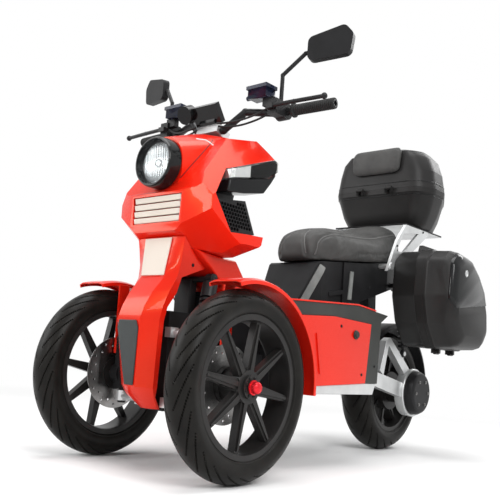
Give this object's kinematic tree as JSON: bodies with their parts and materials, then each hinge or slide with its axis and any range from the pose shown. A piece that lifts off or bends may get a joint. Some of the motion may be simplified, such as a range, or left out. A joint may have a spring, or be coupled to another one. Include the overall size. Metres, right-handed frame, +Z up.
{
  "type": "electric three-wheel scooter",
  "caption": "Tilting-type electric scooter with two steered front wheels and one driven rear wheel, round headlight, stepped seat, lidded top box and lidded side cases.",
  "frame": {"origin": "middle of the footprint of the bounding box, on the ground", "axes": "+X forward, +Y to the rider's left, +Z up"},
  "size_m": [1.784, 0.8416, 1.2769],
  "materials": {
    "paint_red": "gloss",
    "cream": "gloss",
    "black_plastic": "matte",
    "gloss_black": "gloss",
    "dark_grey": "matte",
    "frame_black": "satin",
    "wheel_black": "gloss",
    "silver": "satin",
    "disc_steel": "brushed",
    "tyre": "matte",
    "leather": "satin",
    "charcoal": "satin",
    "clear_lens": "clear",
    "amber_lens": "tinted",
    "red_lens": "tinted",
    "grip_rubber": "matte",
    "mirror": "polished",
    "pillar_grey": "satin"
  },
  "bodies": {
    "chassis": {"front_mask": "paint_red", "inner_shield": "black_plastic", "side_meshes": "black_plastic", "turn_lamps": "amber_lens", "lamp_housings": "black_plastic", "headlight_bezel": "gloss_black", "headlight_lens": "clear_lens", "grille_slats": "cream", "nose_cover": "paint_red", "nose_inset": "dark_grey", "face_panel": "cream", "leg_column": "paint_red", "head_tube": "frame_black", "front_frame": "frame_black", "control_arms": "silver", "front_shocks": "frame_black", "belly_pan": "black_plastic", "battery_block": "frame_black", "floor_board": "black_plastic", "side_panels": "paint_red", "side_bands": "dark_grey", "sills": "silver", "seat_base": "black_plastic", "seat": "leather", "seat_pillars": "pillar_grey", "rack": "silver", "rear_shocks": "frame_black", "swing_arm": "silver", "motor_cap": "black_plastic", "rear_fender": "black_plastic", "tail_lamp": "red_lens", "plate_holder": "black_plastic", "top_box_base": "charcoal", "case_bases": "charcoal"},
    "steering": {"handlebar": "frame_black", "bar_clamp": "silver", "grips": "grip_rubber", "controls": "black_plastic", "levers": "black_plastic", "display": "black_plastic", "mirrors": "black_plastic", "mirror_glass": "mirror"},
    "knuckle_left": {"knuckle_left": "frame_black", "fender_left": "paint_red"},
    "knuckle_right": {"knuckle_right": "frame_black", "fender_right": "paint_red"},
    "wheel_front_left": {"rim_front_left": "wheel_black", "disc_left": "disc_steel", "tyre_front_left": "tyre"},
    "wheel_front_right": {"rim_front_right": "wheel_black", "disc_right": "disc_steel", "tyre_front_right": "tyre"},
    "wheel_rear": {"rim_rear": "wheel_black", "tyre_rear": "tyre"},
    "top_lid": {"top_box_lid": "charcoal", "backrest_pad": "leather"},
    "case_lid_left": {"case_lid_left": "charcoal"},
    "case_lid_right": {"case_lid_right": "charcoal"}
  },
  "joints": [
    {"name": "steering_turn", "type": "hinge", "parent": "chassis", "child": "steering", "pos_m": [0.524, 0, 0.981], "axis": [-0.342, 0, 0.9397], "range_deg": [-25, 25]},
    {"name": "kingpin_left", "type": "hinge", "parent": "chassis", "child": "knuckle_left", "pos_m": [0.637, 0.185, 0.255], "axis": [0, 0, 1], "range_deg": [-25, 25]},
    {"name": "kingpin_right", "type": "hinge", "parent": "chassis", "child": "knuckle_right", "pos_m": [0.637, -0.185, 0.255], "axis": [0, 0, 1], "range_deg": [-25, 25]},
    {"name": "front_left_spin", "type": "hinge", "parent": "knuckle_left", "child": "wheel_front_left", "pos_m": [0.637, 0.271, 0.255], "axis": [0, 1, 0], "continuous": true},
    {"name": "front_right_spin", "type": "hinge", "parent": "knuckle_right", "child": "wheel_front_right", "pos_m": [0.637, -0.271, 0.255], "axis": [0, 1, 0], "continuous": true},
    {"name": "rear_spin", "type": "hinge", "parent": "chassis", "child": "wheel_rear", "pos_m": [-0.603, 0, 0.238], "axis": [0, 1, 0], "continuous": true},
    {"name": "top_lid_hinge", "type": "hinge", "parent": "chassis", "child": "top_lid", "pos_m": [-0.455, 0, 1.04], "axis": [0, 1, 0], "range_deg": [0, 70]},
    {"name": "case_left_hinge", "type": "hinge", "parent": "chassis", "child": "case_lid_left", "pos_m": [-0.518, 0.281, 0.399], "axis": [-1, 0, 0], "range_deg": [0, 75]},
    {"name": "case_right_hinge", "type": "hinge", "parent": "chassis", "child": "case_lid_right", "pos_m": [-0.518, -0.281, 0.399], "axis": [1, 0, 0], "range_deg": [0, 75]}
  ],
  "couplings": [
    {"joint": "kingpin_left", "follows": "steering_turn", "ratio": 1},
    {"joint": "kingpin_right", "follows": "steering_turn", "ratio": 1}
  ]
}
